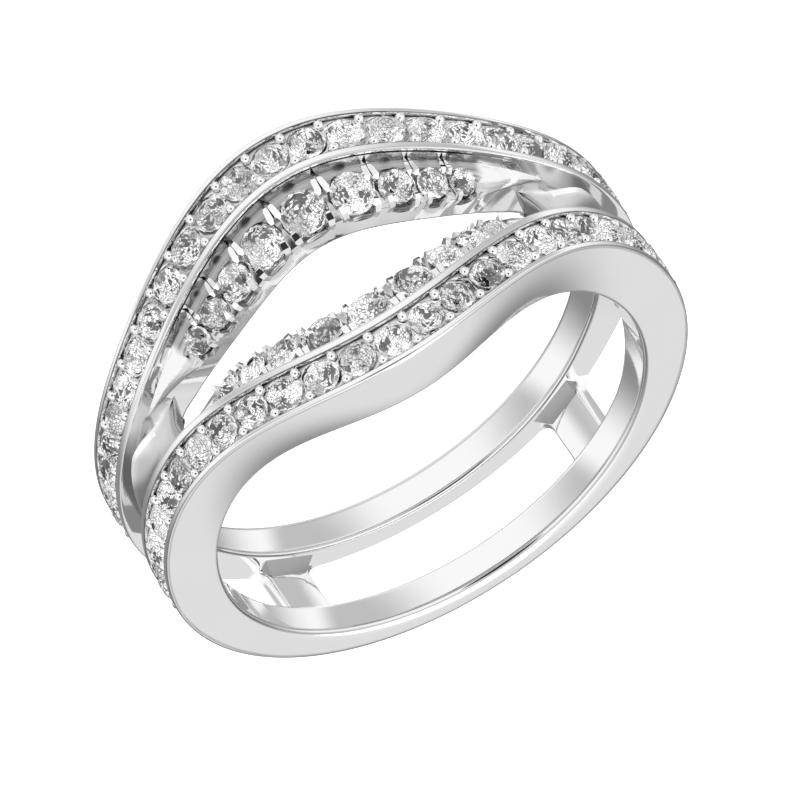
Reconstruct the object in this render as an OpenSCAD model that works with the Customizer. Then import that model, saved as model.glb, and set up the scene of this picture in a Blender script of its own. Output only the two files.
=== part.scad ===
// Ring guard enhancer: two contoured bands, joined at both shoulders and by two bars near the
// back, with an open slot between them for the ring that it guards. Sizes are in millimetres.
// The ring lies on its side on its lower band, so the finger's axis is close to +Z.
// Around the ring an angle of 0 is the front, at +Y, and angles grow towards +X.

/* [Bands] */
// Diameter of the finger hole, US size 7
bore_d = 17.3; // [15.7:0.1:19.8]
// Width over both bands at the back
back_w = 5.6; // [5.2:0.1:6.4]
// Width of one band at the back
band_w = 1.5; // [1.3:0.1:1.7]
// Metal thickness at the front
front_t = 2.72; // [2.6:0.02:3.2]
// Metal thickness at the back
back_t = 1; // [0.9:0.05:1.4]
// How far each band bows outwards at the front
bow = 2.8; // [2.6:0.05:3.2]
// Rounding of the finger hole's edges
edge = 0.22; // [0.15:0.01:0.25]
// How much the finger hole opens towards the outer edges of the bowed front
flare = 0.15; // [0.12:0.01:0.18]
// How much the bands' outer side faces swell
swell = 0.1; // [0.02:0.01:0.14]

/* [Rims] */
// Width of the rims beside the row of small stones
rim_w = 0.32; // [0.28:0.01:0.36]
// Half of the slot between the inner rims at the shoulders
waist = 0.76; // [0.7:0.01:0.9]
// How far the inner rims bow outwards at the front
rim_bow = 2.68; // [2.5:0.02:2.9]

/* [Gallery] */
// Height of the ledge for the large stones, rim side, above the finger hole
ledge_high = 2; // [1.95:0.01:2.05]
// Height of that ledge, slot side
ledge_low = 1.38; // [1.34:0.01:1.42]
// Height of the leaf's tip
leaf_high = 1.75; // [1.7:0.01:1.8]
// Half of the slot at the finger hole where it is narrowest
foot = 0.93; // [0.88:0.01:1]
// How much wider the slot's half is at the front
foot_bow = 0.92; // [0.85:0.01:1]
// How far the ledge leans over the slot at the front
lean = 0.19; // [0.1:0.01:0.22]
// How much farther it leans over the slot at the gallery's ends
lean_more = 0.22; // [0.1:0.01:0.24]
// Radius of a prong
prong_r = 0.16; // [0.1:0.01:0.17]

/* [Stones] */
// Diameter of the small stones at the front
pave_d = 1.26; // [1.1:0.01:1.28]
// Number of small stones on each side of the middle one
pave_half = 12; // [8:1:12]
// Share of the ledge's width that the middle large stone takes
stone_share = 0.8; // [0.7:0.01:0.82]
// Stone's crown height, a share of its diameter
crown = 0.16; // [0.12:0.01:0.18]
// Stone's pavilion depth, a share of its diameter
pavilion = 0.43; // [0.4:0.01:0.44]
// Stone's table width, a share of its diameter
table_w = 0.57; // [0.5:0.01:0.62]

/* [Joins] */
// Angle at which the shoulder webs start at the slot's middle
web_from = 49; // [48:0.5:52]
// Angle at which the shoulder webs end at the slot's middle
web_to = 99; // [94:0.5:104]
// Height of the webs' valley above the finger hole
web_high = 1.05; // [1:0.01:1.2]
// How far the webs' undersides are set back from the finger hole
web_back = 0.06; // [0.05:0.01:0.1]
// Angle of the bars from the front
bar_at = 141.8; // [138:0.2:148]
// Width of a bar's inner face around the ring
bar_w = 1.7; // [1.4:0.05:2]
// How much wider a bar is on each side at its outer face
bar_splay = 0.2; // [0.1:0.02:0.3]
// Depth of a bar's inner face below the finger hole's wall
bar_set = 0.8; // [0.6:0.02:0.82]
// Height of a bar's feet on the bands' walls
bar_foot = 0.38; // [0.2:0.02:0.4]
// Radius of the fillets where a bar meets the bands
fillet = 0.5; // [0.4:0.01:0.55]

/* [Hidden] */
$fn = 96;

bore_r = bore_d / 2;
half_w = back_w / 2;
pave_pitch = 7.2;                      // degrees from one small stone to the next
pave_end = pave_half * pave_pitch + 4; // where the channel ends
girdle_in = 0.15;                      // a small stone's girdle below the rims' tops
channel_t = 0.8;                       // depth of the channel
stones_end = 34.5;                     // where the large stones' seat ends
leaf_tip = 51;                         // where the leaf's tip lies
stone_lift = 0.06;                     // a large stone's girdle above its ledge
set_share = 0.43;                      // where the large stones' line runs across the ledge
inside = 0.3;                          // how far pieces reach in past the finger hole before it is cut
web_reach = 1.25;                      // half width of a web, inside the bands
web_sag = 4.5;                         // degrees that a web's ends curve in from its sides to its middle
web_slant = 9;                         // degrees between a web's outer and inner edge

// Large stones of one gallery: angle from the front, and size as a share of stone_share
STONE_AT = [[-31.8, 0.82], [-25.7, 0.8], [-18.8, 0.85], [-10.3, 0.97], [0, 1],
            [10.3, 0.97], [18.8, 0.85], [25.7, 0.8], [31.8, 0.82]];
// Prongs of one gallery: angle from the front, the share of prong_r, and degrees between the pair
PRONG_AT = [[-35.3, 0.8, 0], [-28.9, 0.75, 1.5], [-22.5, 0.8, 1.6], [-14.9, 0.95, 1.8], [-5.3, 1, 2.2],
            [5.3, 1, 2.2], [14.9, 0.95, 1.8], [22.5, 0.8, 1.6], [28.9, 0.75, 1.5], [35.3, 0.8, 0]];
// Sections of a band, angle from the front: close together where the shape changes
HALF_AT = [4, 8, 12, 16, 20, 24, 28, 31.5, 34.5, 36.5, 40, 44, 48, 51, 55, 60, 66, 72, 78, 84,
           pave_end, pave_end + 2.2, 98, 104, 111, 118, 126, 134, 142, 150, 158, 166, 173];
SECTION_AT = concat([for (i = [len(HALF_AT) - 1 : -1 : 0]) -HALF_AT[i]], [0], HALF_AT, [180]);

// The ring rests on its lower band: at the front on the finger hole's edge, at the back on the
// outer edge. Its bounding box is centred over the origin.
front_at = [bore_r + edge, z_out(0) - swell];
back_at = [r_top(180) - 0.16, z_out(180) - swell / 2];
rest_tilt = atan((front_at[1] - back_at[1]) / (front_at[0] + back_at[0]));
rest_high = front_at[1] * cos(rest_tilt) - front_at[0] * sin(rest_tilt);
rest_mid = ((r_top(0) - r_top(180)) * cos(rest_tilt) + (z_out(0) - z_out(180)) * sin(rest_tilt)) / 2;

function mix(a, b, u) = a + (b - a) * u;
function ramp(t, a, b) = let (u = max(0, min(1, (abs(t) - a) / (b - a)))) u * u * (3 - 2 * u);
function bell(t, s) = exp(-t * t / (s * s));

// Outlines of the upper band against the angle: metal thickness, outer side, inner rim and foot
function thick(t) = back_t + (front_t - back_t) * pow((1 + cos(t)) / 2, 0.9);
function r_top(t) = bore_r + thick(t);
function z_out(t) = half_w + bow * bell(t, 35);
function z_rim(t) = waist + rim_bow * bell(t, 34)
    + (half_w - band_w - waist) * ramp(t, 85, 125);
function z_foot(t) = mix(foot + foot_bow * bell(t, 22), z_rim(t), ramp(t, 46, 56));
function z_row(t) = (z_rim(t) + z_out(t)) / 2;
function row_half(t) = (z_out(t) - z_rim(t)) / 2 - rim_w;

// The ledge of the gallery: full beside the large stones, then a leaf that ends in a tip
function on_ledge(t) = 1 - ramp(t, stones_end + 2, leaf_tip);
function high(t) = min(mix(leaf_high, ledge_high, on_ledge(t)), thick(t) - 0.35);
function low(t) = min(mix(leaf_high - 0.12, ledge_low, on_ledge(t)), thick(t) - 0.5);
function ledge_hi(t) = [bore_r + high(t), z_rim(t)];
function ledge_lo(t) = [bore_r + low(t),
    mix(z_rim(t), z_foot(t) - lean - lean_more * ramp(t, 8, 32), on_ledge(t))];
function ledge_set(t) = mix(ledge_lo(t), ledge_hi(t), set_share);
function ledge_slope(t) = atan2(ledge_hi(t)[0] - ledge_lo(t)[0], ledge_hi(t)[1] - ledge_lo(t)[1]);
function ledge_wide(t) = norm(ledge_hi(t) - ledge_lo(t));
function seat_t(t) = (0.45 * ledge_wide(t)) * (1 - ramp(t, stones_end, stones_end + 2));

// One section of the upper band as [radius, height] pairs, round the outline
function section(t) = let (
    rt = r_top(t), zo = z_out(t), zi = z_rim(t), zf = z_foot(t), zr = z_row(t),
    open = 1 - ramp(t, pave_end, pave_end + 2.2), w = row_half(t), b = 0.1,
    hi = ledge_hi(t), lo = ledge_lo(t), a = ledge_slope(t),
    seat = ledge_set(t) + seat_t(t) * [-cos(a), sin(a)])
    [[bore_r - inside, zf + edge + inside], [bore_r - inside, zo - swell - edge - inside],
     [bore_r + edge, zo - swell], [bore_r + thick(t) * 0.5, zo],
     [rt - b * 1.6, zo - swell * 0.5], [rt, zo - swell * 0.5 - b], [rt, zr + w],
     [rt - girdle_in * open, zr + w - 0.04], [rt - channel_t * open, zr + 0.1],
     [rt - channel_t * open, zr - 0.1], [rt - girdle_in * open, zr - w + 0.04],
     [rt, zr - w], [rt, zi + b], [rt - b, zi],
     hi, seat, lo, [bore_r + edge, zf]];

// Skin through all sections of a band
module band() {
    rows = [for (t = SECTION_AT) [for (q = section(t)) [q[0] * sin(t), q[0] * cos(t), q[1]]]];
    n = len(rows);
    k = len(rows[0]);
    polyhedron(
        points = [for (row = rows) for (q = row) q],
        faces = [for (i = [0 : n - 1]) for (j = [0 : k - 1])
            let (a = i * k + j, b = i * k + (j + 1) % k,
                 c = ((i + 1) % n) * k + j, d = ((i + 1) % n) * k + (j + 1) % k)
            for (f = [[a, b, c], [b, d, c]]) f],
        convexity = 10);
}

// Moves a piece drawn around the origin to angle t: +Z of the piece points outwards, +X points
// to growing angles, and the piece leans by a towards the slot.
module set_at(t, q, a) {
    rotate([0, 0, -t]) translate([0, q[0], q[1]]) rotate([-90 - a, 0, 0]) children();
}

// A pair of prongs at the ledge's slot side and one at its rim side, between neighbouring stones
module prongs() {
    for (p = PRONG_AT) {
        r = prong_r * p[1];
        out = set_share * ledge_wide(p[0]) - r * 0.4;
        for (turn = p[2] > 0 ? [-1, 1] : [0]) prong(p[0] + turn * p[2] / 2, out, r);
        prong(p[0], -out, r);
    }
}

module prong(t, side, r) {
    set_at(t, ledge_set(t), ledge_slope(t)) translate([0, side, -0.35])
        cylinder(r = r, h = 0.35 + 0.3, $fn = 8);
}

// Concave saddle between the bands at one shoulder: slices across it, each an arc around the ring
module web() {
    nz = 8;
    na = 8;
    slices = [for (j = [-nz : nz]) let (
        u = j / nz, z = u * web_reach, sag = web_sag * u * u,
        from = web_from - sag, to = web_to + sag, top = bore_r + web_high + 0.45 * u * u)
        concat(
            [for (i = [0 : na]) let (t = mix(from, to, i / na)) [top * sin(t), top * cos(t), z]],
            [for (i = [na : -1 : 0]) let (t = mix(from + web_slant, to - web_slant, i / na), r = bore_r + web_back)
                [r * sin(t), r * cos(t), z]])];
    n = len(slices);
    k = len(slices[0]);
    last = (n - 1) * k;
    polyhedron(
        points = [for (slice = slices) for (q = slice) q],
        faces = concat(
            [for (i = [0 : n - 2]) for (j = [0 : k - 1])
                let (a = i * k + j, b = i * k + (j + 1) % k, c = a + k, d = b + k)
                for (f = [[a, b, c], [b, d, c]]) f],
            [for (i = [0 : na - 1]) for (f = [[i, k - 1 - i, i + 1], [i + 1, k - 1 - i, k - 2 - i]]) f],
            [for (i = [0 : na - 1]) for (f = [[i, i + 1, k - 1 - i], [i + 1, k - 2 - i, k - 1 - i]])
                [for (v = f) v + last]]),
        convexity = 6);
}

// Bar near the back, wider at its outer face, with rounded corners to both bands
module bar() {
    gap = half_w - band_w;
    thin = thick(bar_at) - bar_set;
    side = bar_w / 2 + bar_splay / 2;
    rotate([0, 0, -bar_at]) translate([0, bore_r + bar_set, 0]) {
        linear_extrude(height = 2 * gap + 0.3, center = true)
            polygon([[-bar_w / 2, 0], [bar_w / 2, 0],
                     [bar_w / 2 + bar_splay, thin], [-bar_w / 2 - bar_splay, thin]]);
        for (sz = [0, 1]) mirror([0, 0, sz])
            rotate([0, 90, 0]) linear_extrude(height = 2 * side + 2 * fillet, center = true)
                polygon([[-gap - 0.1, -bar_set + 0.15], [-gap + bar_foot, 0.03], [-gap + bar_foot, 0.2],
                         [-gap - 0.1, 0.2]]);
        for (sx = [0, 1]) for (sz = [0, 1]) mirror([sx, 0, 0]) mirror([0, 0, sz])
            difference() {
                translate([side - 0.4, 0.02, gap - fillet]) cube([fillet + 0.4, thin - 0.04, fillet + 0.15]);
                translate([side + fillet, -1, gap - fillet]) rotate([-90, 0, 0])
                    cylinder(r = fillet, h = thin + 2);
            }
    }
}

// Finger hole: round, and a little flared where the front bows out past the shank's width
module finger_hole() {
    cylinder(r = bore_r, h = 4 * half_w + 4 * bow, center = true);
    for (side = [0, 1]) mirror([0, 0, side]) translate([0, 0, half_w - bow])
        cylinder(r1 = bore_r - flare, r2 = bore_r + 2 * flare, h = 3 * bow);
}

module upright_frame() {
    difference() {
        union() {
            for (side = [0, 1]) mirror([0, 0, side]) {
                band();
                prongs();
            }
            for (side = [0, 1]) mirror([side, 0, 0]) {
                web();
                bar();
            }
        }
        finger_hole();
    }
}

// Cut stone with its girdle's top at z = 0, a table and facets all round
module cut_stone(d, sides) {
    rotate([0, 0, 180 / sides]) rotate_extrude($fn = sides)
        polygon([[0, -pavilion * d], [d / 2, -0.02 * d], [d / 2, 0.01 * d],
                 [table_w * d / 2, crown * d], [0, crown * d]]);
}

module pave_row() {
    for (i = [-pave_half : pave_half]) {
        t = i * pave_pitch;
        set_at(t, [r_top(t) - girdle_in, z_row(t)], 0) cut_stone(pave_d * r_top(t) / r_top(0), 8);
    }
}

module gallery_stone(i) {
    t = STONE_AT[i][0];
    set_at(t, ledge_set(t), ledge_slope(t)) translate([0, 0, stone_lift])
        cut_stone(stone_share * STONE_AT[i][1] * ledge_wide(t), 12);
}

// Turns the upright ring to the way it rests
module rested() { translate([0, -rest_mid, rest_high]) rotate([rest_tilt, 0, 0]) children(); }

module ring_frame() { color([0.86, 0.87, 0.89]) rested() upright_frame(); }
module pave_row_upper() { color([0.93, 0.95, 0.98]) rested() pave_row(); }
module pave_row_lower() { color([0.93, 0.95, 0.98]) rested() mirror([0, 0, 1]) pave_row(); }
module stone_upper(i) { color([0.93, 0.95, 0.98]) rested() gallery_stone(i); }
module stone_lower(i) { color([0.93, 0.95, 0.98]) rested() mirror([0, 0, 1]) gallery_stone(i); }

ring_frame();
pave_row_upper();
pave_row_lower();
for (i = [0 : 8]) {
    stone_upper(i);
    stone_lower(i);
}
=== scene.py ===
import math
import random

import bmesh
import bpy
from mathutils import Matrix, Vector


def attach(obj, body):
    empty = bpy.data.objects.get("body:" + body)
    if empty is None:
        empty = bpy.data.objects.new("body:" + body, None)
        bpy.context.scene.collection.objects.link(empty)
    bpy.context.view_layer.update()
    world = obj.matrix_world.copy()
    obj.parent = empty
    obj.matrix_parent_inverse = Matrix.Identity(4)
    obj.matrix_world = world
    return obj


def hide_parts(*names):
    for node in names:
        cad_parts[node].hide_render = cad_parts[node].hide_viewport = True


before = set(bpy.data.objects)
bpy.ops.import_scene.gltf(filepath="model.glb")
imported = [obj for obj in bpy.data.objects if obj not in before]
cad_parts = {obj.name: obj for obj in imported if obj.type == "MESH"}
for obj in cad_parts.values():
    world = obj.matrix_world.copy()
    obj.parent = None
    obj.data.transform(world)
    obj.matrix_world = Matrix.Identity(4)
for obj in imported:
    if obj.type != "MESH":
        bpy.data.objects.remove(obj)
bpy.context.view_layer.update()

# Camera, at the photograph's angle: it looks down on the front of the ring from about 40 degrees
# above the floor, through a long lens. It is turned over, because the photograph's top is
# the floor's side of the ring.
MM = 0.001
CAMERA_AT = (-40.796, 325.824, 284.375)  # millimetres
CAMERA_TURN = (-43.66333, -26.34257, -17.77809)  # degrees
LENS = 545.16
SENSOR = 36
NEAREST = 0.01  # metres
FARTHEST = 20
view_camera = bpy.data.objects.new("camera", bpy.data.cameras.new("camera"))
view_camera.location = Vector(CAMERA_AT) * MM
view_camera.rotation_euler = [math.radians(turn) for turn in CAMERA_TURN]
view_camera.data.lens = LENS
view_camera.data.sensor_width = SENSOR
view_camera.data.clip_start = NEAREST
view_camera.data.clip_end = FARTHEST
bpy.context.scene.collection.objects.link(view_camera)
bpy.context.scene.camera = view_camera
bpy.context.scene.view_settings.view_transform = "Standard"


class Wire:
    """A socket of a node tree, so that shader maths can be written as plain expressions."""

    def __init__(self, tree, socket=None):
        self.tree, self.socket = tree, socket

    def add(self, kind, settings=None, inputs=None, output=0):
        """Adds a node: its settings first, then the values or links of its sockets."""
        node = self.tree.nodes.new(kind)
        for name, value in (settings or {}).items():
            setattr(node, name, value)
        for name, value in (inputs or {}).items():
            if isinstance(value, Wire):
                self.tree.links.new(value.socket, node.inputs[name])
            else:
                node.inputs[name].default_value = value
        return Wire(self.tree, node.outputs[output]) if len(node.outputs) else None

    def maths(self, operation, *values):
        return self.add("ShaderNodeMath", {"operation": operation}, dict(enumerate(values)))

    def __add__(self, other):
        return self.maths("ADD", self, other)

    def __mul__(self, other):
        return self.maths("MULTIPLY", self, other)

    def __sub__(self, other):
        return self.maths("SUBTRACT", self, other)

    def __rsub__(self, other):
        return self.maths("SUBTRACT", other, self)

    __radd__ = __add__
    __rmul__ = __mul__

    def step(self, low, high):
        """0 below low, 1 above high and smooth between them."""
        return self.add(
            "ShaderNodeMapRange",
            {"interpolation_type": "SMOOTHSTEP"},
            {"Value": self, "From Min": low, "From Max": high},
        )

    def colour(self, red, green, blue):
        return self.add("ShaderNodeCombineColor", {}, {"Red": red, "Green": green, "Blue": blue})


def blank(holder):
    """Empties the node tree of a material or world and returns a Wire that fills it."""
    holder.use_nodes = True
    holder.node_tree.nodes.clear()
    return Wire(holder.node_tree)


# Light: a white tent, bright in front of the ring and overhead and grey behind it, with the dark
# opening that the camera looks through. A pair in capitals says where a part of the tent begins
# and where it is complete, measured along a unit direction.
FRONT = (-0.5, 0.15)  # forward: from the grey rear to the white front
RIGHT = (0.2, 0.6)  # to the right, where the front reaches further back
front_lean = 0.15
SIDES = (0.06, 0.6)  # to either side, squared: the greyer cloth beside the ring
LOW = (-0.4, 0.1)  # upwards: where that cloth ends
NEAR = (0.28, 0.5)  # forward: where it begins
FAR_RIGHT = (0.3, 0.6)  # to the right, where it reaches further back
near_lean = 0.28
side_shade = 0.45
CORNERS = (0.12, 0.36)  # to either side, squared: the rear's dark corners
CORNER_TOP = (0.2, 0.45)  # upwards: where they end
WALL = (-0.25, 0.3)  # upwards: the rear grows lighter
rear_grey = 0.27
rear_glow = 0.5
ROOF = (0.5, 0.9)  # upwards: the light overhead
roof_glow = 0.3
OPENING = (-0.095, 0.755, 0.648)  # direction of the camera's opening
OPENING_EDGE = (22, 17)  # degrees from there to the opening's edge
opening_shade = 0.97

sky = bpy.data.worlds.new("light_tent")
tent = blank(sky)
towards = tent.add("ShaderNodeTexCoord")
right, forward, up = [
    tent.add("ShaderNodeSeparateXYZ", {}, {"Vector": towards}, axis) for axis in "XYZ"]
at_opening = tent.add(
    "ShaderNodeVectorMath", {"operation": "DOT_PRODUCT"}, {0: towards, 1: OPENING}, "Value")
front = (forward + front_lean * right.step(*RIGHT)).step(*FRONT)
aside = right * right
nearer = (forward + near_lean * right.step(*FAR_RIGHT)).step(*NEAR)
low_sides = aside.step(*SIDES) * (1 - up.step(*LOW)) * nearer
rear_corners = aside.step(*CORNERS) * (1 - up.step(*CORNER_TOP))
rear = rear_grey + rear_glow * up.step(*WALL) * (1 - rear_corners)
cloth = front * (1 - side_shade * low_sides) + (1 - front) * rear + roof_glow * up.step(*ROOF)
opened = at_opening.step(*[math.cos(math.radians(turn)) for turn in OPENING_EDGE])
cloth = cloth * (1 - opening_shade * opened)
glow = tent.add("ShaderNodeBackground", {}, {"Color": cloth, "Strength": 1.0})
tent.add("ShaderNodeOutputWorld", {}, {"Surface": glow})
bpy.context.scene.world = sky

# Soft box: one weak lamp above and behind the ring, that the camera doesn't see.
box_at = Vector((0.10, -0.25, 0.42))  # metres
box_size = 0.25  # metres
box_power = 0.5  # watts
soft_box = bpy.data.objects.new("soft_box_top", bpy.data.lights.new("soft_box_top", "AREA"))
soft_box.data.size = box_size
soft_box.data.energy = box_power
soft_box.location = box_at
soft_box.rotation_euler = (-box_at).to_track_quat("-Z", "Y").to_euler()
soft_box.visible_camera = False
bpy.context.scene.collection.objects.link(soft_box)

# Floor: a plain white sheet that is lit through, as on a light table, so that it stays pale round
# the ring.
sheet_r = 3  # metres
sheet_sides = 96
sheet_white = 0.9
sheet_glow = 0.75
sheet = bmesh.new()
bmesh.ops.create_circle(sheet, cap_ends=True, radius=sheet_r, segments=sheet_sides)
white = bpy.data.materials.new("white_sheet")
paint = blank(white)
matt = paint.add("ShaderNodeBsdfDiffuse", {}, {"Color": (sheet_white,) * 3 + (1,)})
lit = paint.add("ShaderNodeEmission", {}, {"Color": (1, 1, 1, 1), "Strength": sheet_glow})
both = paint.add("ShaderNodeAddShader", {}, {0: matt, 1: lit})
paint.add("ShaderNodeOutputMaterial", {}, {"Surface": both})
floor = bpy.data.objects.new("floor", bpy.data.meshes.new("floor"))
sheet.to_mesh(floor.data)
sheet.free()
floor.data.materials.append(white)
floor.visible_glossy = False
bpy.context.scene.collection.objects.link(floor)

# Bands: two contoured bands of white gold, cast and polished, mirror images of each other. Each
# has a channel between two rims for the small stones, and towards the slot a ledge for the large
# ones, scalloped under every stone, which runs out into a leaf. Sizes are in millimetres and
# angles in degrees from the front. A pair in capitals is where a form begins to go over into the
# next one and where it has done so. Painted shade in hollows, corners and recesses, and painted
# dark lines along rounded edges that stand for dark reflections, go from 0, none, to 1.
bore_r = 8.65  # finger hole's radius
half_w = 2.8  # half of the ring's width at the back
band_w = 1.5  # a band's width at the back
front_t = 2.72  # a band's thickness at the front
back_t = 1.0  # and at the back
thinning = 0.9  # how it goes over from one to the other
SHANK = (88, 110)  # from the set front to the plain shank

bow = 2.8  # how far a band's outer side bows out at the front
bow_wide = 35
waist = 0.76  # from the ring's middle to the inner rim at the shoulders
rim_bow = 2.68  # how far the inner rim bows out at the front
rim_wide = 34
SHANK_SIDE = (85, 125)  # the inner side moves out to the shank's width
foot = 0.93  # from the ring's middle to the slot's wall at the finger hole
foot_bow = 0.92  # how far that wall bows out at the front
foot_wide = 22
FOOT_END = (46, 56)  # it goes over into the rim

edge = 0.22  # rounding of the finger hole's edges
edge_lines = (0.9, 0.7)  # painted dark lines along them, inner and outer, that stand for dark reflections
flare = 0.15  # how much wider the finger hole opens at the front
swell = 0.1  # how far the outer side swells out between its edges
side_round = 1  # its rounding
side_drop = 0.65  # share of the swell by which its top edge lies back
side_soft = 0.16  # rounding of that edge at the front
shank_soft = 0.28  # and on the shank
side_line = 0.5  # painted dark line along it, standing for a dark reflection
reach_share = 0.47  # the most of a side that the rounding of a corner takes
hair = 0.01  # the least distance between two corners

pave_pitch = 7.2  # degrees from one small stone to the next
pave_half = 12  # small stones on each side of the middle one
pave_d = 1.36  # their size at the front
girdle_in = 0.17  # how deep they sit
channel_deep = 0.2  # from the rims' top to the channel's floor
channel_edge = 0.06  # rounding of its edges
pave_end = pave_pitch * pave_half + 4  # where the channel ends
pave_run_out = 2.2  # degrees over which it runs out
pit_share = 0.9  # depth of the pit under a stone, as a share of its radius
# Painted shade in the pit under each small stone and on the channel's floor.
pit_shade = 0.6
floor_shade = 0.15

rim_w = 0.32  # a rim's width
rim_soft = 0.1  # rounding of the inner rim at the front
rim_softer = 0.34  # and on the shoulder
RIM_SOFTENS = (40, 75)
rim_sharpens = 0.3  # share of it that the shank loses
rim_line = 0.5  # painted dark line along the rim, standing for a dark reflection
RIM_LINE_ENDS = (40, 60)
rim_under = 0.14  # from the rim's top to the groove under it
groove_deep = 0.055
GROOVE_ENDS = (30, 44)
groove_shade = 18  # painted shade in the groove, for each millimetre of its depth
under_rim_shade = 0.25  # painted shade on the wall under the groove

# Large stones: their angles from the front, and their sizes as shares of the largest
STONES = [(-31.8, 0.82), (-25.7, 0.8), (-18.8, 0.85), (-10.3, 0.97), (0, 1),
          (10.3, 0.97), (18.8, 0.85), (25.7, 0.8), (31.8, 0.82)]
stones_end = 34.5  # where their ledge ends and the leaf begins
STONES_STOP = (stones_end + 0.5, stones_end + 2.5)
stone_share = 0.92  # the largest stone's size, as a share of the ledge's width
set_share = 0.43  # its place across the ledge
seat_gap = 0.02  # between a stone and its seat
seat_deep = 0.95  # depth of a seat, as a share of its half width
# Painted shade in a seat under a large stone.
seat_shade = 0.8
seat_full = 0.2  # half width from which a seat is that dark
ledge_high = 2.0  # from the finger hole to the ledge's upper edge
ledge_low = 1.38  # and to its lower edge
high_cover = 0.35  # how far the upper edge stays under the band's top
low_cover = 0.5  # and the lower edge
lean = 0.19  # how far the ledge hangs over the slot's wall
lean_more = 0.22  # and how much further towards the leaf
LEANS = (8, 32)
leaf_tip = 52.0  # where the leaf ends
leaf_taper = 1.15  # above 1 it tapers late
leaf_high = 1.75  # from the finger hole to the leaf's upper edge at its tip
leaf_thin = 0.12  # from there to its lower edge
leaf_ridge = 0.2  # height of the ridge along it
LEAF_RISES = (stones_end - 1, stones_end + 7)
leaf_shade = 0.5  # painted shade on the leaf's side towards the slot
LEAF_SHADE_ENDS = (48, 52)

scallop = 0.4  # depth of a scallop under a large stone
scallop_back = 0.7  # share of that depth on the ledge
scallop_reach = 0.8  # its half width, as a share of the stone's radius
scallop_full = 0.6  # half width, as the same share, that goes with the full depth
hollow = 0.3  # half width of the hollow behind a stone, as a share of its radius
hollow_high = 0.16  # how far it reaches up the wall
hollow_low = 0.1  # and into it
wall_foot = 0.12  # from the ledge to where the wall behind it begins
wall_cover = 0.3  # how far that stays under the band's top
lip = 0.06  # how far the ledge's edge goes over into the slot's wall
lip_share = 0.1  # the most of that wall that it takes
slope_share = 0.6  # and that a scallop takes
lip_soft = 0.02  # rounding of the ledge's edge
lip_line = 0.7  # painted dark line along it, standing for a dark reflection
LIP_LINE_ENDS = (46, 54)
wall_shade = 0.7  # painted shade on the wall behind the stones, and more where it is hollowed
hollow_shade = 0.14
to_rim_shade = 0.65  # painted shade on the ledge towards the rim
to_slot_shade = 0.5  # painted shade on the ledge towards the slot, and more where it is scalloped
to_slot_more = 0.3
lip_shade = 0.3  # painted shade on the ledge's edge, and more where it is scalloped
lip_more = 0.45


def mix(a, b, share):
    return a + (b - a) * share


def ramp(t, start, end):
    share = max(0.0, min(1.0, (abs(t) - start) / (end - start)))
    return share * share * (3 - 2 * share)


def bell(t, spread):
    return math.exp(-t * t / (spread * spread))


def thick(t):
    return back_t + (front_t - back_t) * ((1 + math.cos(math.radians(t))) / 2) ** thinning


def r_top(t):
    return bore_r + thick(t)


def z_out(t):
    return half_w + bow * bell(t, bow_wide)


def z_rim(t):
    return waist + rim_bow * bell(t, rim_wide) + (half_w - band_w - waist) * ramp(t, *SHANK_SIDE)


def z_foot(t):
    return mix(foot + foot_bow * bell(t, foot_wide), z_rim(t), ramp(t, *FOOT_END))


def z_row(t):
    return (z_rim(t) + z_out(t)) / 2


def row_half(t):
    return (z_out(t) - z_rim(t)) / 2 - rim_w


def on_ledge(t):
    """1 beside the large stones, then less along the leaf, down to 0 at its tip."""
    along_leaf = (abs(t) - stones_end - 1) / (leaf_tip - stones_end - 1)
    return 1 - max(0.0, min(1.0, along_leaf)) ** leaf_taper


def ledge_hi(t):
    high = min(mix(leaf_high, ledge_high, on_ledge(t)), thick(t) - high_cover)
    return Vector((bore_r + high, z_rim(t)))


def ledge_lo(t):
    low = min(mix(leaf_high - leaf_thin, ledge_low, on_ledge(t)), thick(t) - low_cover)
    over = z_foot(t) - lean - lean_more * ramp(t, *LEANS)
    return Vector((bore_r + low, mix(z_rim(t), over, on_ledge(t))))


def ledge_wide(t):
    return (ledge_hi(t) - ledge_lo(t)).length


def ledge_set(t):
    """Where a large stone's middle sits."""
    return ledge_lo(t).lerp(ledge_hi(t), set_share)


def ledge_slope(t):
    rise = ledge_hi(t) - ledge_lo(t)
    return math.degrees(math.atan2(rise.x, rise.y))


def gallery_d(t, share):
    return stone_share * share * ledge_wide(t)


def nearest(t, places):
    """Distance along the ring to the nearest stone's middle, and that stone's radius."""
    at, r = min(places, key=lambda place: abs(t - place[0]))
    return abs(math.radians(t - at)), r


def chord(off, r):
    """Half of a round hole's width, at a distance off from its middle."""
    return math.sqrt(max(0.0, r * r - off * off))


LARGE_AT = [(at, gallery_d(at, share) / 2) for at, share in STONES]
SMALL_AT = [(i * pave_pitch, pave_d / 2 * r_top(i * pave_pitch) / r_top(0))
            for i in range(-pave_half, pave_half + 1)]

# The next four functions give the corners of a band's section, in order round it. A corner is
# (steps of its rounding, radius, height, rounding, share of painted shade, strength of its
# painted dark edge line, which stands for a dark reflection).


def side_corners(t):
    """The finger hole's wall and the outer side, with painted dark lines along their edges."""
    opening = flare * max(0.0, z_out(t) - swell - edge - half_w) / bow
    top_soft = mix(side_soft, shank_soft, ramp(t, *SHANK))
    return [
        (5, bore_r, z_foot(t), edge, 0, edge_lines[0]),
        (5, bore_r + opening, z_out(t) - swell, edge, 0, edge_lines[1]),
        (10, bore_r + thick(t) / 2, z_out(t), side_round, 0, 0),
        (5, r_top(t), z_out(t) - swell * side_drop, top_soft, 0, side_line),
    ]


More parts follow.
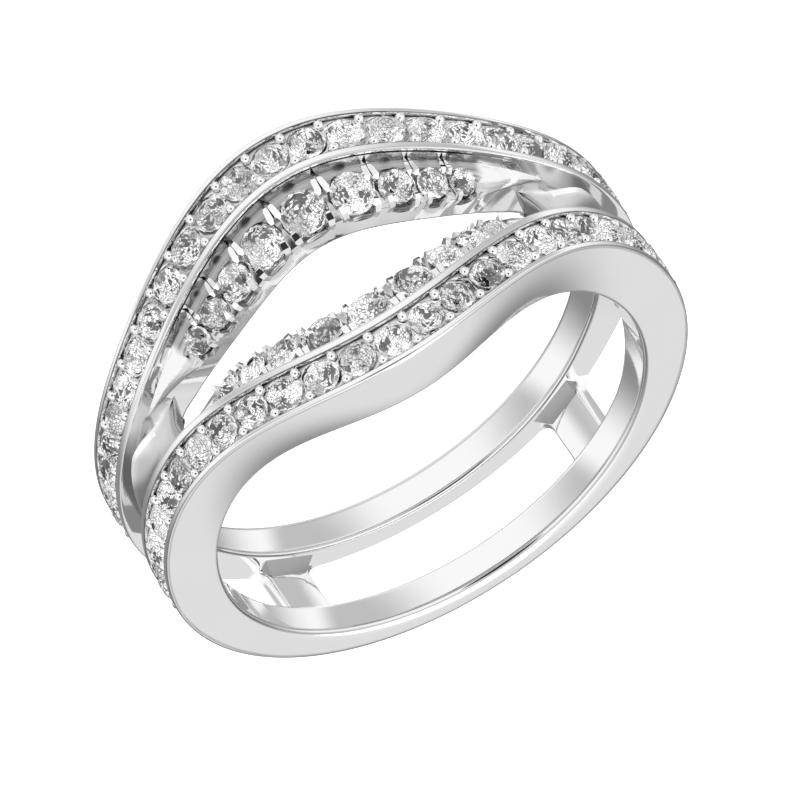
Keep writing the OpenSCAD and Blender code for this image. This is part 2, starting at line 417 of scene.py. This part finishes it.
def channel_corners(t):
    """The channel of the small stones, with a pit under each of them. Painted shade fills the
    pits, the floor and the feet of its walls, and painted dark lines run along its top edges.
    """
    rt, zr, w = r_top(t), z_row(t), row_half(t)
    cut = 1 - ramp(t, pave_end, pave_end + pave_run_out)
    off, r = nearest(t, SMALL_AT)
    hole = chord(off * rt, r + seat_gap)
    pit = pit_share * hole
    hole = min(hole, w - 3 * hair)
    floor_r = rt - channel_deep * cut
    return [
        (2, rt, zr + w, channel_edge, 0, cut),
        (0, floor_r, zr + w - 2 * hair, 0, cut, 0),
        (0, floor_r, zr + hole, 0, floor_shade * cut, 0),
        (0, floor_r - pit * cut, zr, 0, pit_shade * cut, 0),
        (0, floor_r, zr - hole, 0, floor_shade * cut, 0),
        (0, floor_r, zr - w + 2 * hair, 0, cut, 0),
        (2, rt, zr - w, channel_edge, 0, cut),
    ]


def rim_corners(t):
    """The inner rim, with a groove under it. Painted shade fills the groove and the wall under
    it, and a painted dark line runs along the rim's rounding.
    """
    rt, zi = r_top(t), z_rim(t)
    soft = mix(rim_soft, rim_softer, ramp(t, *RIM_SOFTENS))
    soft *= 1 - rim_sharpens * ramp(t, *SHANK)
    line = rim_line * (1 - ramp(t, *RIM_LINE_ENDS))
    groove = groove_deep * (1 - ramp(t, *GROOVE_ENDS))
    under, softened = rt - rim_under, rt - soft / 2
    beside = 1 - ramp(t, *STONES_STOP)
    return [
        (5, rt, zi, soft, 0, line),
        (0, min(under, softened - hair), zi, 0, 0, 0),
        (0, min(under - hair, softened - 2 * hair), zi + groove, 0, groove_shade * groove, 0),
        (0, min(under - 8 * hair, softened - 3 * hair), zi + groove, 0, groove_shade * groove, 0),
        (0, min(under - 9 * hair, softened - 4 * hair), zi, 0, under_rim_shade * beside, 0),
    ]


def ledge_corners(t):
    """The ledge with the large stones' seats and scallops, or the leaf's ridge past them, with
    painted shade on it and on the wall behind the stones, deeper in the seats, scallops and
    hollows, and a painted dark line along its edge.
    """
    hi, lo, middle = ledge_hi(t), ledge_lo(t), ledge_set(t)
    across = (hi - lo).normalized()
    outward = Vector((across.y, -across.x))
    beside, rising = 1 - ramp(t, *STONES_STOP), 1 - ramp(t, *LEAF_RISES)
    shaded = leaf_shade * (1 - beside) * (1 - ramp(t, *LEAF_SHADE_ENDS))
    off, r = nearest(t, LARGE_AT)
    off *= middle.x
    seat_half = chord(off, r + seat_gap)
    cut = chord(off, scallop_reach * r) / (scallop_full * r) * beside
    blob = chord(off, hollow * r) / (hollow * r) * beside

    to_rim = min(seat_half, (1 - set_share) * ledge_wide(t) - 2 * hair)
    to_slot = min(seat_half, set_share * ledge_wide(t) - 2 * hair)
    crest = middle + outward * leaf_ridge * on_ledge(t)
    rim_side = middle + across * max(0, to_rim)
    slot_side = middle - across * max(0, to_slot)
    slot_side = slot_side - outward * scallop * scallop_back * cut
    seat = middle - outward * seat_deep * seat_half
    rim_side = ((hi + crest) / 2).lerp(rim_side, beside)
    slot_side = ((lo + crest) / 2).lerp(slot_side, beside)
    seat = crest.lerp(seat, rising)
    down = Vector((bore_r + edge, z_foot(t))) - lo
    lo = lo + down.normalized() * min(scallop * cut, slope_share * down.length)
    below = lo + down.normalized() * min(lip, lip_share * down.length)
    above = min(hi.x + wall_foot + hollow_high * blob, r_top(t) - wall_cover)
    slot_line = lip_line * (1 - ramp(t, *LIP_LINE_ENDS))
    return [
        (0, above, z_rim(t), 0, wall_shade * beside, 0),
        (0, hi.x, hi.y + hollow_low * blob, 0, (wall_shade + hollow_shade * blob) * beside, 0),
        (0, rim_side.x, rim_side.y, 0, to_rim_shade * beside, 0),
        (0, seat.x, seat.y, 0, seat_shade * min(1, seat_half / seat_full), 0),
        (0, slot_side.x, slot_side.y, 0, (to_slot_shade + to_slot_more * cut) * beside + shaded, 0),
        (2, lo.x, lo.y, lip_soft, (lip_shade + lip_more * cut) * beside + shaded, slot_line),
        (0, below.x, below.y, 0, 0, 0),
    ]


LINED = {2: (1,), 5: (1, 3)}  # points of a rounded corner that hold its painted dark line, by its steps


def section(t):
    """Points round a band's section: radius, height and painted shade with the painted dark lines,
    every corner as a short curve.
    """
    corners = side_corners(t) + channel_corners(t) + rim_corners(t) + ledge_corners(t)
    points = []
    for i, (steps, r, z, rounding, painted_shade, line) in enumerate(corners):
        here = Vector((r, z))
        before = Vector(corners[i - 1][1:3]) - here
        after = Vector(corners[(i + 1) % len(corners)][1:3]) - here
        reach = [min(rounding, reach_share * side.length) for side in (before, after)]
        start = here + before.normalized() * reach[0]
        end = here + after.normalized() * reach[1]
        for k in range(steps + 1):
            u = k / steps if steps else 0.5
            curve = start * (1 - u) ** 2 + here * (2 * u * (1 - u)) + end * u * u
            lined = line if k in LINED.get(steps, ()) else 0
            points.append((curve.x, curve.y, max(painted_shade, lined)))
    return points


def around(r, t, z):
    return Vector((r * math.sin(math.radians(t)), r * math.cos(math.radians(t)), z))


# Sections on one side of the ring: (how many, up to which angle), close together where stones sit
SPANS = [(120, 40.0), (104, 92.0), (44, 180.0)]


def spread(step):
    """Angle of a section, from its number counted from the front."""
    left, start = abs(step), 0.0
    for count, end in SPANS:
        if left <= count:
            return math.copysign(mix(start, end, left / count), step)
        left, start = left - count, end


# The ring rests on its lower band: at the front on the finger hole's edge, at the back on the
# outer edge, so it lies a little tilted.
front_at = Vector((bore_r + edge, z_out(0) - swell))
back_at = Vector((r_top(180) - side_soft, z_out(180) - swell / 2))
rest_tilt = math.atan((front_at.y - back_at.y) / (front_at.x + back_at.x))
rest_high = front_at.y * math.cos(rest_tilt) - front_at.x * math.sin(rest_tilt)
rest_mid = ((r_top(0) - r_top(180)) * math.cos(rest_tilt)
            + (z_out(0) - z_out(180)) * math.sin(rest_tilt)) / 2
RESTED = (Matrix.Scale(MM, 4) @ Matrix.Translation((0, -rest_mid, rest_high))
          @ Matrix.Rotation(rest_tilt, 4, "X"))


def polished_metal():
    """White gold: bright, with a faint random cloud in its tone; painted shade and painted dark
    edge lines, streaked along the radius, darken it and make it rougher.
    """
    # Tone: its brightness, a faint random cloud, how far painted shade darkens it, how much further
    # the deepest painted shade does, and a bluish tint.
    bright, clouded, shade_dims, deepest_dims, bluish = 0.955, 0.03, 0.8, 0.14, 1.003
    buffed, grainy, shade_roughness, wave_high, wave_deep = 0.035, 0.05, 0.25, 0.04, 2e-5
    line_scale, cloud_scale, grain_scale = 14.0, 260.0, 5200.0
    line_least, line_most, DEEPEST = 0.1, 1.8, (0.85, 0.95)
    material = bpy.data.materials.new("polished_white_gold")
    gold = blank(material)
    place = gold.add("ShaderNodeTexCoord", output="Object")
    painted_shade = gold.add("ShaderNodeAttribute", {"attribute_name": "painted_shade"}, output="Fac")
    radius = gold.add("ShaderNodeAttribute", {"attribute_name": "radius"}, output="Fac")
    lines = gold.add("ShaderNodeTexNoise", {"noise_dimensions": "1D"}, {
        "W": radius, "Scale": line_scale, "Detail": 3.0})
    cloud = gold.add("ShaderNodeTexNoise", {}, {
        "Vector": place, "Scale": cloud_scale, "Detail": 3.0})
    grain = gold.add("ShaderNodeTexNoise", {}, {
        "Vector": place, "Scale": grain_scale, "Detail": 2.0})
    # The painted shade is streaked by noise along the radius, and its deepest part is darkened
    # most.
    deep = painted_shade.step(*DEEPEST)
    painted_shade = painted_shade.maths("MAXIMUM", painted_shade * (line_least + line_most * lines), deep)
    tone = (bright - clouded * cloud) * (1 - shade_dims * painted_shade - deepest_dims * deep)
    rough = buffed + grainy * grain + shade_roughness * painted_shade
    wave = gold.add("ShaderNodeBump", {}, {
        "Height": grain, "Strength": wave_high, "Distance": wave_deep})
    surface = gold.add("ShaderNodeBsdfPrincipled", {}, {
        "Base Color": gold.colour(tone, tone, tone * bluish), "Metallic": 1.0,
        "Roughness": rough, "Normal": wave})
    gold.add("ShaderNodeOutputMaterial", {}, {"Surface": surface})
    return material


WHITE_GOLD = polished_metal()


def finish_piece(mesh, name, materials, nodes, sharp=35):
    """Turns a bmesh drawn upright in millimetres into a piece that rests on the floor.

    Edges over sharp degrees stay sharp, and 0 leaves every facet flat."""
    bmesh.ops.transform(mesh, matrix=RESTED, verts=mesh.verts)
    bmesh.ops.recalc_face_normals(mesh, faces=mesh.faces)
    piece = bpy.data.objects.new(name, bpy.data.meshes.new(name))
    mesh.to_mesh(piece.data)
    mesh.free()
    for polygon in piece.data.polygons:
        polygon.use_smooth = sharp > 0
    if sharp > 0:
        piece.data.set_sharp_from_angle(angle=math.radians(sharp))
    for material in materials:
        piece.data.materials.append(material)
    bpy.context.scene.collection.objects.link(piece)
    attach(piece, "root")
    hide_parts(*nodes)


def points_of(geom):
    return [item for item in geom if isinstance(item, bmesh.types.BMVert)]


LOWER = (1, 1, -1)  # the lower band mirrors the upper one
OTHER_SIDE = (-1, 1, 1)  # the left shoulder and bar mirror the right ones


def add_mirror_image(mesh, axes):
    both = bmesh.ops.duplicate(mesh, geom=mesh.verts[:] + mesh.edges[:] + mesh.faces[:])["geom"]
    bmesh.ops.scale(mesh, vec=axes, verts=points_of(both))


bands = bmesh.new()
place = bands.verts.layers.int.new("place")
dark = bands.verts.layers.float.new("painted_shade")
radius = bands.verts.layers.float.new("radius")
bmesh.ops.create_circle(
    bands, radius=1, segments=len(section(0)),
    matrix=Matrix.Translation((0, bore_r, 0)) @ Matrix.Rotation(math.radians(90), 4, "Y"))
bands.verts.ensure_lookup_table()
for i, point in enumerate(bands.verts):
    point[place] = i
steps_round = 2 * sum(count for count, end in SPANS)
bmesh.ops.spin(
    bands, geom=bands.verts[:] + bands.edges[:], cent=(0, 0, 0), axis=(0, 0, 1),
    angle=2 * math.pi, steps=steps_round, use_merge=True)
sections = {}
for point in bands.verts:
    step = round(math.atan2(point.co.x, point.co.y) / (2 * math.pi) * steps_round)
    t = spread(step)
    if step not in sections:
        sections[step] = section(t)
    # Each point takes its section's painted shade and painted dark lines.
    r, z, painted_shade = sections[step][point[place]]
    point.co = around(r, t, z)
    point[dark], point[radius] = painted_shade, r
add_mirror_image(bands, LOWER)
finish_piece(bands, "bands", [WHITE_GOLD], ["ring_frame"])

# Webs: a concave saddle of the same metal closes the slot at each shoulder. It is cast with the
# bands: its upper face rises along both of them, its ends are hollowed, and its underside is
# shorter, just clear of the finger hole.
web_from = 50.0
web_to = 99.0
web_high = 1.05  # from the finger hole to its upper face
web_in = 0.06  # how far it reaches into the bands
web_hollow = 7.0  # how far its front end is hollowed, in degrees
web_tail = 4  # and its back end
web_rise = 0.1  # how far its upper face rises along the bands, at the front
web_cover = 0.32  # and further back, from there to the bands' top
RISES = (52, 63)
FALLS = (62, 92)  # towards the back end it loses this share of its rise
fall_share = 0.8
web_under = 0.02  # from the finger hole to its underside
web_short = 0.68  # the underside's share of its length
web_soft = 0.28  # rounding of its edges
web_corner = 50  # edges that turn by more degrees than this are rounded
web_front_shade = 0.35  # painted shade on its front part and on its back part
web_back_shade = 0.65
GOES_OVER = (70, 73)  # where the painted shade changes
over_slant = 6  # degrees by which that line slants
SHADE_FADES = (0.75, 0.95)  # where the painted shade fades out across the web, towards the bands
tip = 0.06  # the front end's share of its length
tip_shade = 0.3  # how much more painted shade the tip holds
webs = bmesh.new()
bmesh.ops.create_grid(webs, x_segments=40, y_segments=28, size=1)
web_shade = webs.verts.layers.float.new("painted_shade")
for point in webs.verts[:]:
    along, across = (point.co.x + 1) / 2, math.sin(point.co.y * math.pi / 2)
    t = mix(web_from - web_hollow * across ** 2, web_to + web_tail * across ** 2, along)
    to_band = thick(t) - web_cover - web_high
    rise = across ** 2 * mix(web_rise, to_band, ramp(t, *RISES))
    rise *= 1 - fall_share * ramp(t, *FALLS)
    # Painted shade on the web: lighter on its front part, darker on its back part, fading out
    # towards the bands, and more on the front tip.
    painted_shade = mix(web_front_shade, web_back_shade, ramp(t + over_slant * across, *GOES_OVER))
    point[web_shade] = painted_shade * (1 - ramp(across, *SHADE_FADES)) + tip_shade * (along < tip)
    point.co = around(bore_r + web_high + rise, t, across * (z_rim(t) + web_in))
under = bmesh.ops.extrude_face_region(webs, geom=webs.faces[:])["geom"]
for point in points_of(under):
    t = math.degrees(math.atan2(point.co.x, point.co.y))
    middle = (web_from + web_to) / 2
    point.co = around(bore_r + web_under, middle + (t - middle) * web_short, point.co.z)
rims = [side for side in webs.edges if len(side.link_faces) == 2
        and side.calc_face_angle(0) > math.radians(web_corner)]
bmesh.ops.bevel(
    webs, geom=rims, offset=web_soft, segments=4, profile=0.5, affect="EDGES", material=-1)
add_mirror_image(webs, OTHER_SIDE)
finish_piece(webs, "shoulder_webs", [WHITE_GOLD], ["ring_frame"])

# Bars: two flat bars of the same metal, soldered in near the back, hold the bands apart. Each is
# wider at its outer face, which ends in the bands' own, and has rounded corners and a sloping
# foot at both bands.
bar_at = 141.8  # degrees from the front
bar_w = 1.7  # width of its inner face
bar_splay = 0.2  # how much wider its outer face is, on each side
bar_set = 0.8  # from the finger hole to its inner face
bar_under = 0.03  # from the bands' outer face to its own
bar_in = 0.1  # how far it reaches into the bands
fillet = 0.5  # radius of its corners to the bands
fillet_steps = 8
bar_edge = 0.04  # rounding of its edges
bar_corner = 40  # edges that turn by more degrees than this are rounded
bar_clear = 0.02  # but not within this distance of a band
bar_foot = 0.38  # a foot's length along the bar
foot_wider = 0.28  # half of what it is wider than the bar, at the band
foot_narrower = -0.08  # and at its tip
foot_low = 0.15  # from the finger hole to the foot at the band
foot_tip = 0.01  # from the bar's inner face to the foot's tip
foot_top = 0.2  # and to its buried side
# Painted shade on the feet, where the bar meets the bands.
foot_shade = 0.75
bars = bmesh.new()
gap = half_w - band_w
outline = []
for sx, sz in ((1, 1), (1, -1), (-1, -1), (-1, 1)):
    corner = []
    for k in range(fillet_steps + 1):
        turn = math.radians(90 * k / fillet_steps)
        corner.append((sx * (bar_w / 2 + fillet * (1 - math.cos(turn))),
                       sz * (gap - fillet * (1 - math.sin(turn)))))
    corner = [(sx * (bar_w / 2 + fillet), sz * (gap + bar_in))] + corner[::-1]
    outline += corner if sx * sz > 0 else corner[::-1]
bars.faces.new([bars.verts.new((x, bore_r + bar_set, z)) for x, z in outline])
outer = bmesh.ops.extrude_face_region(bars, geom=bars.faces[:])["geom"]
for point in points_of(outer):
    point.co.x += math.copysign(bar_splay, point.co.x)
    t = bar_at + math.degrees(math.atan2(point.co.x, r_top(bar_at)))
    point.co.y = chord(point.co.x, r_top(t) - bar_under)
bar_shade = bars.verts.layers.float.new("painted_shade")
for sz in (-1, 1):
    for point in bmesh.ops.create_cube(bars, size=1)["verts"]:
        inner, at_wall = point.co.y < 0, point.co.z * sz > 0
        half = bar_w / 2 + (foot_wider if at_wall else foot_narrower)
        height = (foot_low - bar_set if at_wall else foot_tip) if inner else foot_top
        # The feet carry painted shade in the corners against the bands.
        point[bar_shade] = foot_shade
        point.co = (math.copysign(half, point.co.x), bore_r + bar_set + height,
                    sz * (gap + bar_in if at_wall else gap - bar_foot))
rims = [side for side in bars.edges if side.calc_face_angle(0) > math.radians(bar_corner)
        and max(abs(point.co.z) for point in side.verts) < gap - bar_clear]
bmesh.ops.bevel(
    bars, geom=rims, offset=bar_edge, segments=2, profile=0.5, affect="EDGES", material=-1)
bmesh.ops.rotate(
    bars, verts=bars.verts, cent=(0, 0, 0), matrix=Matrix.Rotation(math.radians(-bar_at), 3, "Z"))
add_mirror_image(bars, OTHER_SIDE)
finish_piece(bars, "bars", [WHITE_GOLD], ["ring_frame"])


def set_at(t, seat, slope):
    """Where a piece drawn round the origin sits: its +Z points out of the ledge, +Y to the slot."""
    return (Matrix.Rotation(math.radians(-t), 4, "Z") @ Matrix.Translation((0, seat[0], seat[1]))
            @ Matrix.Rotation(math.radians(-90 - slope), 4, "X"))


# Gallery prongs: between neighbouring large stones the ledge is cut into four blades, two towards
# the slot and two towards the rim. Each rises over the stones' edges. Those at the slot run down
# its wall and end in a point, and past each end stone there is a single one.
PRONGS = [  # (angle, size, degrees between the two halves, or 0 for a single one)
    (-35.3, 0.8, 0), (-28.9, 0.75, 1.7), (-22.5, 0.8, 1.8), (-14.9, 0.95, 2.0), (-5.3, 1, 2.2),
    (5.3, 1, 2.2), (14.9, 0.95, 2.0), (22.5, 0.8, 1.8), (28.9, 0.75, 1.7), (35.3, 0.8, 0)]
blade_half = 0.2  # half width of a blade beside the largest stone
blade_top = 0.55  # the flat top's share of its width
blade_splay = 6  # degrees by which each half of a pair is turned outwards
single_off = 0.3  # twice the degrees by which a single one stands nearer to its stone
prong_sharp = 12  # edges over this many degrees stay sharp
prongs = bmesh.new()


def blade(at, stations):
    """A ridge with a flat top, drawn out through its stations: (along, low, high, half width)."""
    along, low, high, half = stations[0]
    made = [prongs.verts.new((x, along, z)) for x, z in
            ((-half, low), (half, low), (half * blade_top, high), (-half * blade_top, high))]
    end = prongs.faces.new(made)
    for along, next_low, next_high, half in stations[1:]:
        drawn = bmesh.ops.extrude_face_region(prongs, geom=[end])["geom"]
        (end,) = [item for item in drawn if isinstance(item, bmesh.types.BMFace)]
        for corner in points_of(drawn):
            top = corner.co.z > (low + high) / 2
            corner.co = (math.copysign(half * (blade_top if top else 1), corner.co.x), along,
                         next_high if top else next_low)
            made.append(corner)
        low, high = next_low, next_high
    bmesh.ops.transform(prongs, matrix=at, verts=made)


for t, share, pair in PRONGS:
    to_slot, to_rim = set_share * ledge_wide(t), (1 - set_share) * ledge_wide(t)
    wide = blade_half * share
    for turn in ((-1, 1) if pair else (math.copysign(single_off, -t),)):
        at = t + turn * (pair or 1) / 2
        splay = Matrix.Rotation(math.radians(-blade_splay * turn if pair else 0), 4, "Z")
        seat = set_at(at, ledge_set(at), ledge_slope(at)) @ splay
        blade(seat, [
            (0.30, -0.2, 0.20 if pair else -0.1, wide * 0.35),
            (0.46, -0.3, 0.30, wide * 0.9),
            (to_slot - 0.10, -0.4, 0.24, wide * 1.15),
            (to_slot + 0.03, -0.5, -0.02, wide),
            (to_slot + 0.08, -0.55, -0.42, wide * 0.15)])
        if pair:
            blade(seat, [
                (-0.30, -0.2, 0.20, wide * 0.4),
                (-0.46, -0.3, 0.30, wide * 1.1),
                (-to_rim + 0.22, -0.3, 0.22, wide * 0.95),
                (-to_rim - 0.04, -0.3, 0.16, wide * 0.15)])
add_mirror_image(prongs, LOWER)
finish_piece(
    prongs, "gallery_prongs", [WHITE_GOLD], ["ring_frame"], sharp=prong_sharp)

# Beads: between neighbouring small stones the metal is raised into two round beads, one beside
# each rim, that hold the stones in their channel. A short post carries each bead.
bead_r = 0.2
bead_in = 0.14  # how deep its middle lies under the rims' top
bead_from_rim = 0.2  # from the rim to its middle
bead_cut = -0.08  # the part of it that the post hides starts there
post_foot = 1.1  # the post's radius below, as a share of the bead's
post_top = 0.95  # and above
post_long = 0.5
post_at = -0.28  # the post's middle, from the bead's
post_sides = 8
beads = bmesh.new()
for i in range(-pave_half, pave_half + 2):
    t = (i - 0.5) * pave_pitch
    for side in (-1, 1):
        z = z_row(t) + side * (row_half(t) - bead_from_rim)
        at = set_at(t, (r_top(t) - bead_in, z), 0)
        bead = bmesh.ops.create_icosphere(beads, subdivisions=2, radius=bead_r, matrix=at)["verts"]
        hidden = [point for point in bead if (at.inverted() @ point.co).z < bead_cut]
        bmesh.ops.delete(beads, geom=hidden, context="VERTS")
        bmesh.ops.create_cone(
            beads, cap_ends=False, segments=post_sides, radius1=bead_r * post_foot,
            radius2=bead_r * post_top, depth=post_long,
            matrix=at @ Matrix.Translation((0, 0, post_at)))
add_mirror_image(beads, LOWER)
finish_piece(beads, "channel_beads", [WHITE_GOLD], ["ring_frame"])

# Stones: round brilliants with a table, 32 crown facets and 24 pavilion facets, each set in its
# own seat. The clear crown lies over a pavilion that is a weak mirror and glows with a painted
# sparkle: light facets broken into chips and shards with dark joints.
crown_share = 0.16  # height of the crown, as a share of the stone's size
pavilion_share = 0.43  # and depth of the pavilion
table_share = 0.57  # the table's share of its width
star_share = 0.763  # where the star facets end: across, and up the crown
star_high = 0.686
main_share = 0.23  # where the pavilion's main facets begin: across, and up from its point
main_high = 0.2125
girdle_top = 0.01  # height of the girdle's two edges, as shares of the stone's size
girdle_foot = -0.02
pavilion_from = -0.025  # facets with their middle lower than this belong to the pavilion
gallery_lift = 0.06  # how far a large stone stands above its ledge
FIRES = (0.5, 0.9, 1.0, 1.1, 1.2)  # how brightly a pavilion facet's painted sparkle may glow


def crown_glass():
    """The clear upper half of a stone."""
    material = bpy.data.materials.new("brilliant_crown")
    glass = blank(material)
    surface = glass.add("ShaderNodeBsdfPrincipled", {}, {
        "Base Color": (0.99, 0.99, 1, 1), "Roughness": 0.0, "IOR": 2.3, "Transmission Weight": 1.0})
    glass.add("ShaderNodeOutputMaterial", {}, {"Surface": surface})
    return material


def pavilion_mirror_and_glow():
    """The lower half: a weak mirror that glows with a painted sparkle, its facets' painted light
    broken into chips and shards with dark joints.
    """
    chip_scale, joint_scale, shard_scale, mirror_share = 4600.0, 6600.0, 2300.0, 0.35
    CHIP, JOINT, SHARD = (0.18, 0.34), (0.01, 0.11), (0.3, 0.4)  # from dark to light
    chip_dark, joint_dark, shard_dark = 0.02, 0.05, 0.6  # what is left of the light in the dark
    material = bpy.data.materials.new("brilliant_pavilion")
    glass = blank(material)
    place = glass.add("ShaderNodeTexCoord", output="Object")
    chips = glass.add("ShaderNodeTexVoronoi", {"distance": "MANHATTAN"}, {
        "Vector": place, "Scale": chip_scale}, "Color")
    chip = glass.add("ShaderNodeSeparateColor", {}, {"Color": chips}, "Red")
    joint = glass.add("ShaderNodeTexVoronoi", {"feature": "DISTANCE_TO_EDGE"}, {
        "Vector": place, "Scale": joint_scale}, "Distance")
    shards = glass.add("ShaderNodeTexVoronoi", {"distance": "MANHATTAN"}, {
        "Vector": place, "Scale": shard_scale}, "Color")
    shard = glass.add("ShaderNodeSeparateColor", {}, {"Color": shards}, "Green")
    facet = glass.add("ShaderNodeAttribute", {"attribute_name": "fire"}, output="Fac")
    fire = facet * (shard_dark + (1 - shard_dark) * shard.step(*SHARD))
    fire = fire * (chip_dark + (1 - chip_dark) * chip.step(*CHIP))
    fire = fire * (joint_dark + (1 - joint_dark) * joint.step(*JOINT))
    # The painted sparkle glows as emission and, weaker, tints the mirror.
    thrown = mirror_share * fire
    surface = glass.add("ShaderNodeBsdfPrincipled", {}, {
        "Base Color": glass.colour(thrown, thrown, thrown), "Metallic": 1.0, "Roughness": 0.02,
        "Emission Color": glass.colour(fire, fire, fire), "Emission Strength": 1.0})
    glass.add("ShaderNodeOutputMaterial", {}, {"Surface": surface})
    return material


CROWN, PAVILION = crown_glass(), pavilion_mirror_and_glow()
chance = random.Random(7)


def brilliant(mesh, d, at):
    """Adds a brilliant of diameter d whose girdle's top lies at z = 0 of the given place."""
    r = d / 2
    high, deep = crown_share * d, pavilion_share * d
    rings = [  # (corners, radius, height, turn)
        (8, table_share * r, high, 0), (8, star_share * r, star_high * high, 22.5),
        (16, r, girdle_top * d, 0), (16, r, girdle_foot * d, 0),
        (8, main_share * r, -deep * (1 - main_high), 22.5)]
    made = [mesh.verts.new(at @ Vector((0, 0, -deep)))]
    turned = at @ Matrix.Rotation(math.radians(chance.uniform(0, 45)), 4, "Z")
    for count, ring_r, z, turn in rings:
        made += bmesh.ops.create_circle(
            mesh, radius=ring_r, segments=count, matrix=turned @ Matrix.Translation((0, 0, z))
            @ Matrix.Rotation(math.radians(turn), 4, "Z"))["verts"]
    bmesh.ops.convex_hull(mesh, input=made)
    fire = mesh.faces.layers.float.get("fire") or mesh.faces.layers.float.new("fire")
    back = turned.inverted()
    facets = {facet for point in made for facet in point.link_faces}
    pavilion = [facet for facet in facets
                if (back @ facet.calc_center_median()).z < pavilion_from * d]
    pavilion.sort(key=lambda facet: facet.calc_center_median()[:])
    for facet in pavilion:
        facet.material_index = 1
        facet[fire] = chance.choice(FIRES)


for name, low in (("upper", False), ("lower", True)):
    row = bmesh.new()
    for i in range(-pave_half, pave_half + 1):
        t = i * pave_pitch
        seat = set_at(t, (r_top(t) - girdle_in, z_row(t)), 0)
        brilliant(row, pave_d * r_top(t) / r_top(0), seat)
    if low:
        bmesh.ops.scale(row, vec=LOWER, verts=row.verts)
    finish_piece(row, f"pave_stones_{name}", [CROWN, PAVILION],
                 [f"pave_row_{name}"], sharp=0)
    for i, (t, share) in enumerate(STONES):
        stone = bmesh.new()
        seat = set_at(t, ledge_set(t), ledge_slope(t)) @ Matrix.Translation((0, 0, gallery_lift))
        brilliant(stone, gallery_d(t, share), seat)
        if low:
            bmesh.ops.scale(stone, vec=LOWER, verts=stone.verts)
        finish_piece(stone, f"gallery_brilliant_{name[0]}{i + 1}", [CROWN, PAVILION],
                     [f"gallery_stone_{name[0]}{i + 1}"], sharp=0)
